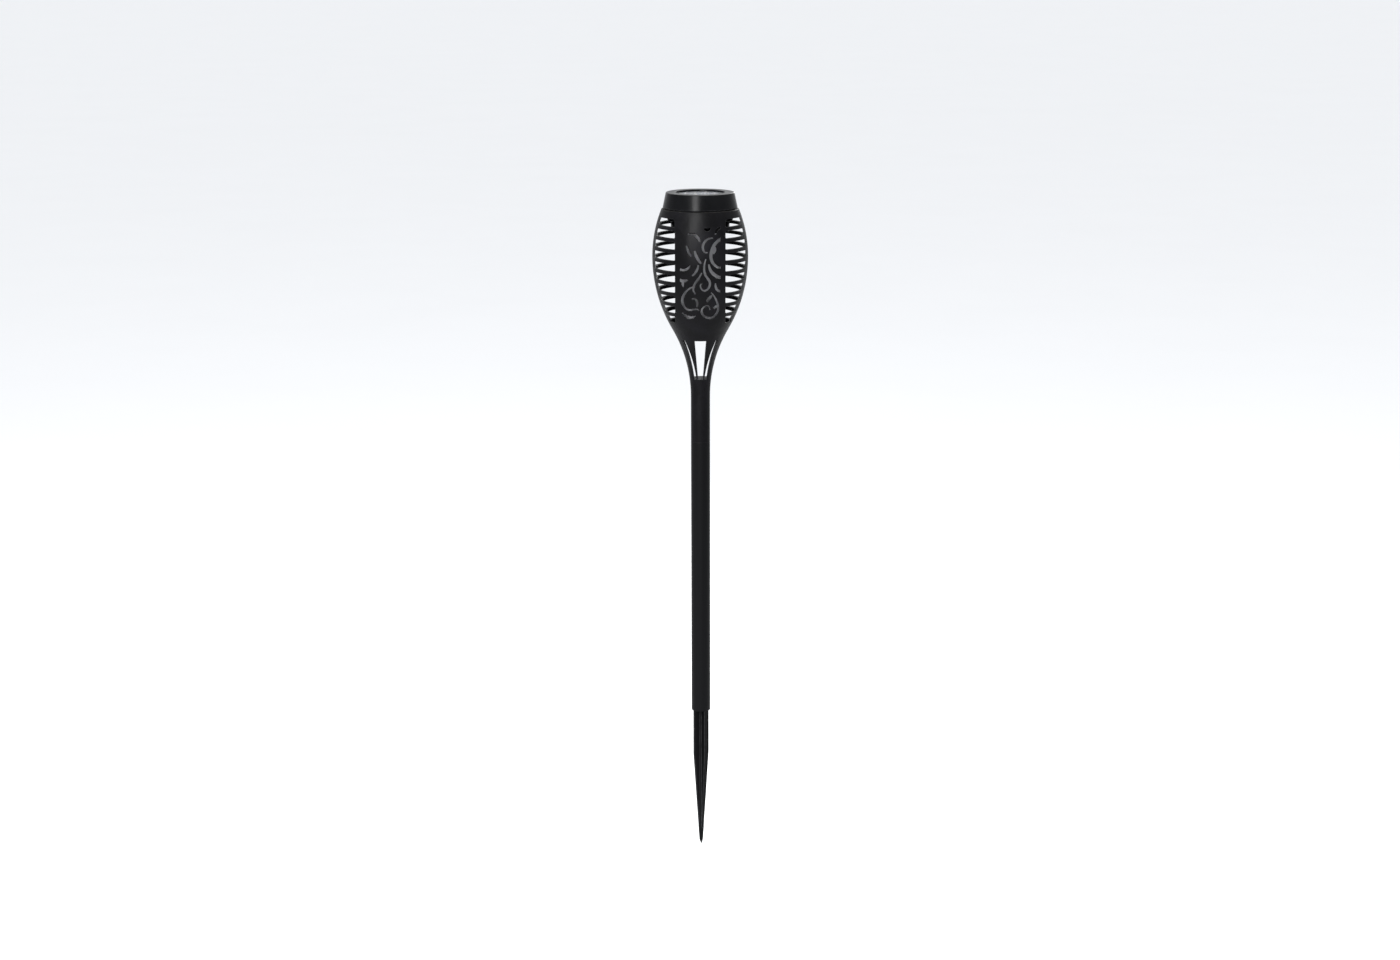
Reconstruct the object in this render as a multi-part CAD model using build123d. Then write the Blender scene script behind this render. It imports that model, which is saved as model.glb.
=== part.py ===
from build123d import *
import os
from math import asin, atan2, cos, degrees, radians, sin

# A small solar garden torch, 400 mm from the point of its spike to the top of its cap.
# A barrel-shaped slotted lantern on a strutted neck stands on a thin pole, and the pole
# plugs onto a spike that is pushed into the soil.
# Sizes are in millimetres. The origin is on the torch's axis at ground level, where the
# pole ends and the spike begins. +Z is up and -Y is the front, which has a scroll panel.

# Spike
SPIKE_TIP_Z = -86.4
SPIKE_TAPER_Z = -27.4
SPIKE_FIN_R = 5.2
SPIKE_FIN_T = 1.4
SPIKE_CORE_R = 1.7
SPIKE_POINT_R = 1.1
SPIKE_POINT_H = 3.0
SPIKE_TURN = 32.0
SPIKE_PLUG_R = 4.78
SPIKE_PLUG_TOP_Z = 34.0
SPIKE_LEAD_IN = 0.8
SPIKE_LEAD_H = 2.0

# Pole
POLE_R = 5.65
POLE_BORE_R = 4.85
POLE_TOP_Z = 166.0
POLE_STOP_R = 3.4
POLE_STOP_T = 2.0
POLE_EDGE = 0.3

# Outline of the lantern: two barrel arcs meet at the widest level, and the lower one
# runs into a flare that meets the pole's radius
BARREL_R = 28.0
BARREL_Z = 276.0
UPPER_ARC_R = 74.5
LOWER_ARC_R = 84.5
FLARE_Z = 193.2
SHADE_TOP_Z = 304.1

# Shade, moulded as two equal halves
WALL = 1.8
RING_BOTTOM_Z = 297.1
RING_BORE_R = 19.3
RING_EDGE = 0.6
FLOOR_BOTTOM_Z = 228.0
FLOOR_TOP_Z = 229.6
DRAIN_R = 1.5
DRAIN_Y = 11.5
SLOT_COUNT = 10
SLOT_TOP_Z = 297.6
SLOT_PITCH = 6.33
SLOT_HEIGHT = 4.36
SLOT_INNER_X = 14.6
SLOT_SPINE = 1.56
SLOT_CORNER = 0.5

# How far a cut runs past the surface that it opens, how far an added piece sinks into its
# wall, and a reach beyond the lantern's side
OVERCUT = 1.0
SINK = 0.2
REACH = BARREL_R + 5

# Scroll panel of each half
PANEL_X = 11.6
PANEL_BOTTOM_Z = 241.3
PANEL_TOP_Z = 296.4
PANEL_WALL = 1.2
VINE_W = 1.4
LEAF_W = 1.8
SCROLL_TIP = 0.45
SCROLL_SECTIONS = 3

# Strutted neck
NECK_WALL = 2.0
WINDOW_BOTTOM_Z = 204.1
WINDOW_TOP_HALF = 3.7
WINDOW_BOTTOM_HALF = 1.5
SLIT_OFFSET = 2.75
SLIT_W = 1.3
SPIGOT_R = 4.78
SPIGOT_BOTTOM_Z = 141.0
SPIGOT_TOP_Z = 196.0
SPIGOT_CHAMFER = 0.8
SPIGOT_WALL = 1.6
SPIGOT_END_T = 3.0
SPIGOT_FIT = 0.02

# Cap housing
CAP_BOTTOM_Z = 304.8
CAP_TOP_Z = 313.6
CAP_BOTTOM_R = 21.8
CAP_TOP_R = 19.95
CAP_WALL = 1.5
CAP_ROUND = 0.6
CAP_ROOF_INSET = 1.3
RECESS_R = 14.35
RECESS_FLOOR_Z = 311.2
RECESS_FLOOR_T = 1.4
BOSS_R = 1.7
BOSS_PITCH_R = 14.25
BOSS_ANGLES = (45.0, 135.0, 270.0)
WIRE_HOLE_R = 2.2
WIRE_Y = 8.5

# Cap base: flange, plug in the shade's ring, and collar round the diffuser
FLANGE_R = 20.6
STEP_R = 19.7
BASE_TOP_Z = 306.6
PLUG_R = 19.1
PLUG_BOTTOM_Z = 297.6
GROOVE_R = 18.0
GROOVE_Z = 300.5
GROOVE_H = 1.4
COLLAR_R = 17.1
COLLAR_BORE_R = 16.1
COLLAR_BOTTOM_Z = 291.2
COLLAR_FLOOR_T = 1.5
COLLAR_FLOOR_Z = COLLAR_BOTTOM_Z + COLLAR_FLOOR_T

# Seal ring in the plug's groove
SEAL_CLEAR = 0.05
SEAL_ROUND = 0.45
SEAL_END_CLEAR = 0.1

# Solar panel, a small round board under clear resin
PANEL_R = 14.1
BOARD_T = 0.75
RESIN_T = 0.85
CELL_T = 0.2
CELL_W = 5.2
CELL_GAP = 0.5
CELL_FIELD_R = 12.6
CELL_PLACES = (-1.5, -0.5, 0.5, 1.5)
RESIN_EDGE = 0.2

# Light module
TUBE_R = 12.4
TUBE_WALL = 0.8
TUBE_TOP_Z = 293.5
TUBE_BOTTOM_Z = 236.8
TUBE_FIT = 0.03
END_CAP_Z = 236.0
END_CAP_TOP_Z = 238.6
END_CAP_EDGE = 0.4
END_CAP_FIT = 0.02
POST_SIZE = 9.0
POST_BORE = 5.8
POST_BOTTOM_Z = 243.0
POST_FLANGE_R = 12.2
POST_FLANGE_Z = 293.5
POST_FLANGE_T = 1.2
WRAP_T = 0.4
WRAP_GAP = 0.05
WRAP_END_GAP = 0.5
LED_SIZE = (3.5, 1.2, 2.8)
LED_LEVELS = (284.0, 268.0, 252.0)

# Main board, battery and switch
MAIN_BOARD_Z = 294.7
MAIN_BOARD_T = 1.2
MAIN_BOARD_R = 11.9
MAIN_BOARD_TOP_Z = MAIN_BOARD_Z + MAIN_BOARD_T
CHIP_SIZE = (4.9, 3.9, 1.5)
CHIP_PLACE = (-4.0, -8.2)
COIL_R = 1.9
COIL_H = 3.2
COIL_PLACE = (3.6, -8.4)
CAPACITOR_R = 1.6
CAPACITOR_H = 3.6
CAPACITOR_PLACE = (-4.6, 8.4)
RESISTOR_SIZE = (2.0, 1.2, 0.6)
RESISTOR_PLACES = ((4.6, 8.0), (7.4, 8.0))
CELL_BODY_R = 5.25
CELL_LENGTH = 28.5
CELL_CENTRE_Z = 302.0
CELL_NUB_R = 2.0
CELL_NUB_H = 0.8
CELL_EDGE = 0.4
CRADLE_LENGTH = 20.0
CRADLE_WIDTH = 10.0
CRADLE_H = 3.4
CRADLE_FIT = 0.05
TAB_W = 4.0
TAB_T = 0.3
TAB_REACH = 4.0
TAB_RISE = 1.0
SWITCH_Y = 14.4
SWITCH_SIZE = (4.0, 3.0, 2.0)
SWITCH_FOOT_T = 0.35
SWITCH_FOOT_W = 2.4
SWITCH_FOOT_X = 1.8
BUTTON_R = 1.5
BUTTON_HOLE_R = 1.55
BUTTON_PROUD = 1.7
BUTTON_TRAVEL = 1.2
BUTTON_EDGE = 0.4
WIRE_R = 0.45
SOLAR_LEAD_X = 1.1
SOLAR_LEAD_Y = 7.6
SOLAR_LEAD_LEVELS = (306.0, 301.0)
SOLAR_LEAD_BEND = 3.0
SWITCH_LEAD_X = 1.2
SWITCH_LEAD_YS = (14.2, 10.6)
SWITCH_LEAD_TOP_Z = 299.6
SWITCH_LEAD_BEND = 1.4
SCREW_R = 0.8
SCREW_HEAD_R = 1.4
SCREW_HEAD_H = 1.1
SCREW_LENGTH = 9.0
SCREW_CLEAR = 0.15
SCREW_FIT = 0.02
SCREW_HEAD_EDGE = 0.45
SCREW_CROSS = (2.0, 0.45, 0.5)

# Centres of the outline's arcs. The flare's radius is the one that makes the flare
# touch both the lower barrel arc and a line at the pole's radius.
UPPER_CENTRE = (BARREL_R - UPPER_ARC_R, BARREL_Z)
LOWER_CENTRE = (BARREL_R - LOWER_ARC_R, BARREL_Z)
ACROSS = POLE_R - LOWER_CENTRE[0]
DOWN = BARREL_Z - FLARE_Z
FLARE_R = (ACROSS**2 + DOWN**2 - LOWER_ARC_R**2) / (2 * (LOWER_ARC_R - ACROSS))
FLARE_CENTRE = (POLE_R + FLARE_R, FLARE_Z)
JOIN_ANGLE = -degrees(atan2(DOWN, ACROSS + FLARE_R))


def barrel_arcs(inset):
    """The two arcs of the barrel's side, moved inwards by inset."""
    upper_r = UPPER_ARC_R - inset
    top_angle = degrees(asin((SHADE_TOP_Z - BARREL_Z) / upper_r))
    upper = CenterArc(UPPER_CENTRE, upper_r, 0, top_angle)
    lower = CenterArc(LOWER_CENTRE, LOWER_ARC_R - inset, 0, JOIN_ANGLE)
    return upper, lower


def outline_face(inset, bottom_z, top_z):
    """Half section of the lantern's outline, moved inwards by inset, between two levels."""
    upper, lower = barrel_arcs(inset)
    flare = CenterArc(FLARE_CENTRE, FLARE_R + inset, 180 + JOIN_ANGLE, -JOIN_ANGLE)
    foot = flare @ 1
    rest = Polyline(foot, (foot.X, POLE_TOP_Z), (0, POLE_TOP_Z), (0, SHADE_TOP_Z), upper @ 1)
    whole = make_face([upper, lower, flare] + rest.edges())
    return Plane.XZ * (whole & front_slab(0, REACH, bottom_z, top_z))


def outline_solid(inset, bottom_z, top_z):
    """Solid of revolution inside the lantern's outline, between two levels."""
    return revolve(outline_face(inset, bottom_z, top_z), Axis.Z)


def disc(radius, bottom_z, height):
    """Upright cylinder standing on a level."""
    return Pos(0, 0, bottom_z) * Cylinder(radius, height, align=(Align.CENTER, Align.CENTER, Align.MIN))


def ring(outer_r, inner_r, bottom_z, height):
    """Upright ring standing on a level."""
    return disc(outer_r, bottom_z, height) - disc(inner_r, bottom_z - OVERCUT, height + 2 * OVERCUT)


def block(size, x, y, bottom_z):
    """Box centred on x and y and standing on a level."""
    return Pos(x, y, bottom_z) * Box(*size, align=(Align.CENTER, Align.CENTER, Align.MIN))


def front_slab(x0, x1, z0, z1):
    """Region of the front view between two x values and two levels."""
    return Pos((x0 + x1) / 2, (z0 + z1) / 2) * Rectangle(x1 - x0, z1 - z0)


def make_spike():
    """Four-finned stake with a plug on top for the pole's bore."""
    section = [(0, SPIKE_PLUG_TOP_Z), (SPIKE_PLUG_R - SPIKE_LEAD_IN, SPIKE_PLUG_TOP_Z)]
    section += [(SPIKE_PLUG_R, SPIKE_PLUG_TOP_Z - SPIKE_LEAD_H), (SPIKE_PLUG_R, 0)]
    section += [(SPIKE_FIN_R, 0)]
    section += [(SPIKE_FIN_R, SPIKE_TAPER_Z), (SPIKE_POINT_R, SPIKE_TIP_Z + SPIKE_POINT_H)]
    section += [(0, SPIKE_TIP_Z)]
    envelope = revolve(Plane.XZ * make_face(Polyline(*section, close=True).edges()), Axis.Z)
    length = SPIKE_PLUG_TOP_Z - SPIKE_TIP_Z
    fin = block((2 * (SPIKE_FIN_R + OVERCUT), SPIKE_FIN_T, length), 0, 0, SPIKE_TIP_Z)
    cross = fin + Rot(0, 0, 90) * fin + disc(SPIKE_CORE_R, SPIKE_TIP_Z, length)
    return Rot(0, 0, SPIKE_TURN) * (envelope & cross)


def make_pole():
    """Thin tube with a stop ring inside, against which the spike's plug ends."""
    tube = ring(POLE_R, POLE_BORE_R, 0, POLE_TOP_Z)
    middle_r = (POLE_R + POLE_BORE_R) / 2
    rims = tube.edges().filter_by(GeomType.CIRCLE).filter_by(lambda e: e.radius > middle_r)
    tube = fillet(rims, POLE_EDGE)
    return tube + ring(POLE_BORE_R + SINK, POLE_STOP_R, SPIKE_PLUG_TOP_Z, POLE_STOP_T)


def barrel_view(inset):
    """The barrel as seen from the front, moved inwards by inset."""
    upper, lower = barrel_arcs(inset)
    rest = Polyline(lower @ 1, (0, (lower @ 1).Y), (0, SHADE_TOP_Z), upper @ 1)
    right = make_face([upper, lower] + rest.edges())
    return right + mirror(right, Plane.YZ)


def make_slots():
    """Horizontal slots on both sides of one half, as seen from the front."""
    bands = Sketch()
    for row in range(SLOT_COUNT):
        middle = SLOT_TOP_Z - row * SLOT_PITCH
        for side in (-1, 1):
            ends = sorted((side * SLOT_INNER_X, side * REACH))
            bands += front_slab(*ends, middle - SLOT_HEIGHT / 2, middle + SLOT_HEIGHT / 2)
    slots = bands & barrel_view(SLOT_SPINE)
    return fillet(slots.vertices(), SLOT_CORNER)


def make_neck_windows():
    """One tapering window and two slits that follow the flare, as seen from the front."""
    corners = [(-WINDOW_TOP_HALF, FLOOR_BOTTOM_Z), (WINDOW_TOP_HALF, FLOOR_BOTTOM_Z)]
    corners += [(WINDOW_BOTTOM_HALF, WINDOW_BOTTOM_Z), (-WINDOW_BOTTOM_HALF, WINDOW_BOTTOM_Z)]
    centre = make_face(Polyline(*corners, close=True).edges())
    band = front_slab(0, BARREL_R, WINDOW_BOTTOM_Z, FLOOR_BOTTOM_Z)
    inner_r = FLARE_R + SLIT_OFFSET
    slit = Pos(*FLARE_CENTRE) * (Circle(inner_r + SLIT_W) - Circle(inner_r)) & band
    return centre + slit + mirror(slit, Plane.YZ)


def scroll(points, width, blunt_start=False):
    """One curved cut of the scroll panel, widest in the middle and narrow at its ends."""
    path = Spline(*points)
    steps = SCROLL_SECTIONS * len(points)
    left = []
    right = []
    for step in range(steps + 1):
        t = step / steps
        swell = 1.0 if blunt_start and t < 0.5 else sin(radians(180 * t))
        half = width / 2 * (SCROLL_TIP + (1 - SCROLL_TIP) * swell)
        along = path % t
        across = Vector(-along.Y, along.X) * half
        left.append(path @ t + across)
        right.append(path @ t - across)
    edges = Spline(*left).edges() + Spline(*right).edges()
    edges += Line(left[0], right[0]).edges() + Line(left[-1], right[-1]).edges()
    return make_face(edges)


def make_scrolls():
    """Leafy scrollwork of the panel, as seen from the front."""
    cuts = [
        # spiral at the lower right, with two leaves
        scroll([(5.6, 247.6), (3.6, 250.4), (0.9, 247.8), (2.4, 243.8), (6.2, 242.8),
                (9.8, 246.2), (9.6, 252.6), (6.2, 258.2)], VINE_W),
        scroll([(3.6, 252.6), (4.9, 254.4), (6.8, 256.6)], LEAF_W),
        scroll([(7.6, 248.8), (8.8, 249.4), (10.4, 250.4)], LEAF_W),
        # open curl at the lower left, with a hooked branch
        scroll([(-3.9, 262.0), (-7.8, 259.2), (-10.2, 255.0), (-9.4, 249.8), (-6.2, 247.6),
                (-3.4, 248.2), (-0.6, 247.4)], VINE_W),
        scroll([(-1.9, 249.6), (-1.8, 252.0), (-2.8, 254.4), (-4.8, 254.4)], VINE_W),
        scroll([(-10.4, 245.8), (-6.2, 243.0), (-2.8, 244.2)], LEAF_W),
        # long stem that ends in a loop
        scroll([(3.3, 278.0), (2.3, 273.4), (3.2, 268.2), (5.4, 264.8), (4.6, 260.8),
                (2.4, 259.4), (0.3, 261.2), (0.6, 263.6)], VINE_W),
        # forked stem left of the middle
        scroll([(-3.2, 282.8), (-1.9, 278.8), (0.6, 275.4)], LEAF_W),
        scroll([(-1.1, 274.6), (-1.9, 271.6), (-4.6, 268.2)], VINE_W),
        scroll([(0.8, 270.0), (-1.6, 265.8), (-4.0, 260.8), (-2.8, 257.4)], VINE_W),
        # tips that run in from the left edge
        scroll([(-12.6, 272.0), (-9.2, 271.4), (-5.8, 274.2)], VINE_W, blunt_start=True),
        scroll([(-12.6, 266.0), (-9.9, 265.0), (-7.4, 265.8)], LEAF_W, blunt_start=True),
        scroll([(-9.9, 265.2), (-10.0, 263.4), (-9.8, 261.6)], VINE_W),
        # big open curl on the right edge, with its leaf
        scroll([(12.6, 289.2), (8.7, 286.6), (6.4, 282.0), (6.6, 276.8), (8.9, 273.8),
                (12.6, 272.6)], LEAF_W, blunt_start=True),
        scroll([(7.4, 280.8), (8.2, 282.4), (8.4, 284.8)], LEAF_W),
        scroll([(12.6, 266.8), (8.2, 268.6), (5.9, 271.4), (5.0, 275.0)], LEAF_W, blunt_start=True),
        scroll([(12.6, 259.2), (10.0, 259.4), (8.9, 261.4), (8.8, 263.8)], VINE_W, blunt_start=True),
        # curl and tips near the top
        scroll([(7.4, 289.6), (4.0, 289.0), (1.6, 285.8), (2.2, 282.2), (4.2, 281.6)], VINE_W),
        scroll([(2.4, 295.4), (3.9, 294.4), (5.8, 295.6)], LEAF_W),
        scroll([(12.6, 295.6), (10.2, 294.8), (8.8, 291.6)], VINE_W, blunt_start=True),
        scroll([(-7.0, 291.8), (-3.0, 291.4), (-0.2, 287.8)], LEAF_W),
        scroll([(-7.8, 285.6), (-6.8, 282.2), (-5.2, 279.4)], VINE_W),
    ]
    window = front_slab(-PANEL_X, PANEL_X, PANEL_BOTTOM_Z, PANEL_TOP_Z)
    return [cut & window for cut in cuts]


def make_panel_pocket():
    """Shallow pocket behind the scroll panel, which is thinner than the rest of the wall."""
    view = front_slab(-PANEL_X, PANEL_X, PANEL_BOTTOM_Z, PANEL_TOP_Z)
    inside = outline_solid(PANEL_WALL, PANEL_BOTTOM_Z - OVERCUT, PANEL_TOP_Z + OVERCUT)
    return extrude(Plane.XZ * view, REACH) & inside


def make_shade_half():
    """Front half of barrel, neck and socket. The back half is the same moulding turned round."""
    body = outline_solid(0, POLE_TOP_Z, SHADE_TOP_Z)
    rim = body.edges().filter_by(GeomType.CIRCLE).sort_by(Axis.Z)[-1]
    body = fillet(rim, RING_EDGE)
    body -= outline_solid(WALL, FLOOR_TOP_Z, RING_BOTTOM_Z)
    body -= disc(RING_BORE_R, RING_BOTTOM_Z - OVERCUT, SHADE_TOP_Z - RING_BOTTOM_Z + 2 * OVERCUT)
    body -= outline_solid(NECK_WALL, WINDOW_BOTTOM_Z, FLOOR_BOTTOM_Z)
    body -= disc(SPIGOT_R + SPIGOT_FIT, POLE_TOP_Z - OVERCUT, SPIGOT_TOP_Z - POLE_TOP_Z + OVERCUT)
    half = body & Pos(0, -REACH, 0) * Box(2 * REACH, 2 * REACH, 2 * CAP_TOP_Z)
    half -= extrude(Plane.XZ * make_slots(), REACH)
    half -= extrude(Plane.XZ * make_neck_windows(), REACH)
    for cut in make_scrolls():
        half -= extrude(Plane.XZ * cut, REACH)
    drain_h = FLOOR_TOP_Z - FLOOR_BOTTOM_Z + 2 * OVERCUT
    half -= Pos(0, -DRAIN_Y, 0) * disc(DRAIN_R, FLOOR_BOTTOM_Z - OVERCUT, drain_h)
    return half - make_panel_pocket()


def make_neck_spigot():
    """Round peg glued into the two halves' socket. Its lower end plugs into the pole."""
    peg = disc(SPIGOT_R, SPIGOT_BOTTOM_Z, SPIGOT_TOP_Z - SPIGOT_BOTTOM_Z)
    peg = chamfer(peg.edges().filter_by(GeomType.CIRCLE), SPIGOT_CHAMFER)
    bore_top_z = SPIGOT_TOP_Z - SPIGOT_END_T
    bore_z = SPIGOT_BOTTOM_Z - OVERCUT
    return peg - disc(SPIGOT_R - SPIGOT_WALL, bore_z, bore_top_z - bore_z)


def boss_places(angles=BOSS_ANGLES):
    """Centres of the three screw bosses."""
    return [(BOSS_PITCH_R * cos(radians(a)), BOSS_PITCH_R * sin(radians(a))) for a in angles]


def make_cap_housing():
    """Top cover with a recess for the solar panel and three long screw bosses inside."""
    under_z = RECESS_FLOOR_Z - RECESS_FLOOR_T
    roof_z = CAP_TOP_Z - CAP_WALL
    wall_r = RECESS_R + CAP_WALL
    section = [(0, RECESS_FLOOR_Z), (RECESS_R, RECESS_FLOOR_Z), (RECESS_R, CAP_TOP_Z)]
    section += [(CAP_TOP_R, CAP_TOP_Z), (CAP_BOTTOM_R, CAP_BOTTOM_Z)]
    section += [(CAP_BOTTOM_R - CAP_WALL, CAP_BOTTOM_Z), (CAP_TOP_R - CAP_ROOF_INSET, roof_z)]
    section += [(wall_r, roof_z), (wall_r, under_z), (0, under_z)]
    shell = revolve(Plane.XZ * make_face(Polyline(*section, close=True).edges()), Axis.Z)
    rims = shell.edges().filter_by(GeomType.CIRCLE).group_by(Axis.Z)[-1]
    shell = fillet(rims.sort_by(SortBy.LENGTH)[-1], CAP_ROUND)
    for x, y in boss_places():
        shell += Pos(x, y, 0) * disc(BOSS_R, COLLAR_FLOOR_Z, under_z - COLLAR_FLOOR_Z)
        shell -= Pos(x, y, 0) * disc(SCREW_R, COLLAR_FLOOR_Z - OVERCUT, SCREW_LENGTH + OVERCUT)
    wire_hole = disc(WIRE_HOLE_R, under_z - OVERCUT, RECESS_FLOOR_T + 2 * OVERCUT)
    return shell - Pos(0, WIRE_Y, 0) * wire_hole


def make_cap_base():
    """Flange, plug with its seal groove, and the collar that carries the light module."""
    body = disc(FLANGE_R, SHADE_TOP_Z, CAP_BOTTOM_Z - SHADE_TOP_Z)
    body += disc(STEP_R, SHADE_TOP_Z, BASE_TOP_Z - SHADE_TOP_Z)
    body += disc(PLUG_R, PLUG_BOTTOM_Z, SHADE_TOP_Z - PLUG_BOTTOM_Z)
    body += disc(COLLAR_R, COLLAR_BOTTOM_Z, PLUG_BOTTOM_Z - COLLAR_BOTTOM_Z)
    body -= ring(PLUG_R + OVERCUT, GROOVE_R, GROOVE_Z, GROOVE_H)
    body -= disc(COLLAR_BORE_R, COLLAR_FLOOR_Z, BASE_TOP_Z - COLLAR_FLOOR_Z + OVERCUT)
    holes = [(0, 0, TUBE_R + TUBE_FIT), (0, SWITCH_Y, BUTTON_HOLE_R)]
    holes += [(x, y, SCREW_R + SCREW_CLEAR) for x, y in boss_places()]
    for x, y, radius in holes:
        through = disc(radius, COLLAR_BOTTOM_Z - OVERCUT, COLLAR_FLOOR_T + 2 * OVERCUT)
        body -= Pos(x, y, 0) * through
    return body


def make_seal_ring():
    """Rubber ring that lies in the plug's groove and seals against the shade's ring."""
    bottom_z = GROOVE_Z + SEAL_END_CLEAR
    height = GROOVE_H - 2 * SEAL_END_CLEAR
    ring_body = ring(RING_BORE_R - SEAL_CLEAR, GROOVE_R + SEAL_CLEAR, bottom_z, height)
    rims = ring_body.edges().filter_by(GeomType.CIRCLE).filter_by(lambda e: e.radius > PLUG_R)
    return fillet(rims, SEAL_ROUND)


def make_solar_board():
    """Round circuit board that carries the cells."""
    return disc(PANEL_R, RECESS_FLOOR_Z, BOARD_T)


def make_solar_cells():
    """Strips of silicon side by side, each cut to the round field."""
    top_z = RECESS_FLOOR_Z + BOARD_T
    strips = []
    for place in CELL_PLACES:
        x = place * (CELL_W + CELL_GAP)
        strip = block((CELL_W, 2 * CELL_FIELD_R, CELL_T), x, 0, top_z)
        strips.append(strip & disc(CELL_FIELD_R, top_z - OVERCUT, CELL_T + 2 * OVERCUT))
    return strips


def make_solar_resin(cells):
    """Clear resin poured over the board and its cells."""
    resin = disc(PANEL_R, RECESS_FLOOR_Z + BOARD_T, RESIN_T)
    resin = chamfer(resin.edges().group_by(Axis.Z)[-1], RESIN_EDGE)
    for cell in cells:
        resin -= cell
    return resin


def make_diffuser_tube():
    """Frosted tube glued into the collar's floor."""
    return ring(TUBE_R, TUBE_R - TUBE_WALL, TUBE_BOTTOM_Z, TUBE_TOP_Z - TUBE_BOTTOM_Z)


def make_diffuser_end():
    """Frosted plug that closes the tube's lower end, with a lip of the tube's radius."""
    lip = disc(TUBE_R, END_CAP_Z, TUBE_BOTTOM_Z - END_CAP_Z)
    lip = chamfer(lip.edges().group_by(Axis.Z)[0], END_CAP_EDGE)
    plug_r = TUBE_R - TUBE_WALL - END_CAP_FIT
    return lip + disc(plug_r, TUBE_BOTTOM_Z, END_CAP_TOP_Z - TUBE_BOTTOM_Z)


def make_led_post():
    """Square hollow post on a flange that rests on the top of the tube."""
    height = POST_FLANGE_Z - POST_BOTTOM_Z
    post = block((POST_SIZE, POST_SIZE, height), 0, 0, POST_BOTTOM_Z)
    post += disc(POST_FLANGE_R, POST_FLANGE_Z, POST_FLANGE_T)
    bore_h = height + POST_FLANGE_T + 2 * OVERCUT
    return post - block((POST_BORE, POST_BORE, bore_h), 0, 0, POST_BOTTOM_Z - OVERCUT)


def make_led_wrap():
    """Flexible board wrapped round the post."""
    inner = POST_SIZE + 2 * WRAP_GAP
    outer = inner + 2 * WRAP_T
    bottom_z = POST_BOTTOM_Z + WRAP_END_GAP
    height = POST_FLANGE_Z - WRAP_END_GAP - bottom_z
    wrap = block((outer, outer, height), 0, 0, bottom_z)
    return wrap - block((inner, inner, height + 2 * OVERCUT), 0, 0, bottom_z - OVERCUT)


def make_leds():
    """Twelve lamps, one on each face of the wrap at three levels."""
    face = POST_SIZE / 2 + WRAP_GAP + WRAP_T + LED_SIZE[1] / 2
    lamps = []
    for level in LED_LEVELS:
        for turn in range(4):
            lamp = block(LED_SIZE, 0, -face, level - LED_SIZE[2] / 2)
            lamps.append(Rot(0, 0, 90 * turn) * lamp)
    return lamps


def make_main_board():
    """Round control board above the light module."""
    return disc(MAIN_BOARD_R, MAIN_BOARD_Z, MAIN_BOARD_T)


def make_board_parts():
    """Control chip, coil, capacitor and two resistors on the control board's free edges."""
    chip = block(CHIP_SIZE, *CHIP_PLACE, MAIN_BOARD_TOP_Z)
    coil = Pos(*COIL_PLACE) * disc(COIL_R, MAIN_BOARD_TOP_Z, COIL_H)
    capacitor = Pos(*CAPACITOR_PLACE) * disc(CAPACITOR_R, MAIN_BOARD_TOP_Z, CAPACITOR_H)
    resistors = [block(RESISTOR_SIZE, *place, MAIN_BOARD_TOP_Z) for place in RESISTOR_PLACES]
    return [chip, coil, capacitor] + resistors


def make_battery():
    """Rechargeable cell that lies across the board, with its raised contact."""
    body = Rot(0, 90, 0) * Cylinder(CELL_BODY_R, CELL_LENGTH - CELL_NUB_H)
    body = chamfer(body.edges().filter_by(GeomType.CIRCLE), CELL_EDGE)
    nub = Rot(0, 90, 0) * Cylinder(CELL_NUB_R, CELL_NUB_H)
    nub_x = (CELL_LENGTH - CELL_NUB_H) / 2
    return Pos(0, 0, CELL_CENTRE_Z) * (Pos(-CELL_NUB_H / 2, 0, 0) * body + Pos(nub_x, 0, 0) * nub)


def make_battery_cradle():
    """Plastic saddle that holds the cell off the board."""
    saddle = block((CRADLE_LENGTH, CRADLE_WIDTH, CRADLE_H), 0, 0, MAIN_BOARD_TOP_Z)
    hollow = Rot(0, 90, 0) * Cylinder(CELL_BODY_R + CRADLE_FIT, CRADLE_LENGTH + 2 * OVERCUT)
    return saddle - Pos(0, 0, CELL_CENTRE_Z) * hollow


def make_battery_tabs():
    """Nickel strips from the cell's two ends down to the board."""
    height = CELL_CENTRE_Z + TAB_RISE - MAIN_BOARD_TOP_Z
    upright_x = (CELL_LENGTH + TAB_T) / 2
    foot_x = CELL_LENGTH / 2 + TAB_T - TAB_REACH / 2
    tabs = []
    for side in (-1, 1):
        upright = block((TAB_T, TAB_W, height), side * upright_x, 0, MAIN_BOARD_TOP_Z)
        foot = block((TAB_REACH, TAB_W, TAB_T), side * foot_x, 0, MAIN_BOARD_TOP_Z)
        tabs.append(upright + foot)
    return tabs


def make_switch_body():
    """Small push switch that stands on the collar's floor."""
    return block(SWITCH_SIZE, 0, SWITCH_Y, COLLAR_FLOOR_Z + BUTTON_TRAVEL)


def make_switch_seat():
    """Two feet that hold the switch off the floor by the button's travel."""
    size = (SWITCH_FOOT_T, SWITCH_FOOT_W, BUTTON_TRAVEL)
    return [block(size, side * SWITCH_FOOT_X, SWITCH_Y, COLLAR_FLOOR_Z) for side in (-1, 1)]


def make_switch_button():
    """Round button that stands out of the collar's underside."""
    height = BUTTON_PROUD + COLLAR_FLOOR_T
    button = Pos(0, SWITCH_Y, 0) * disc(BUTTON_R, COLLAR_BOTTOM_Z - BUTTON_PROUD, height)
    return fillet(button.edges().group_by(Axis.Z)[0], BUTTON_EDGE)


def wire(points, bend):
    """Round insulated wire along straight runs joined by arcs."""
    path = FilletPolyline(*points, radius=bend)
    plane = Plane(origin=path @ 0, z_dir=path % 0)
    return sweep(plane * Circle(WIRE_R), path)


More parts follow.
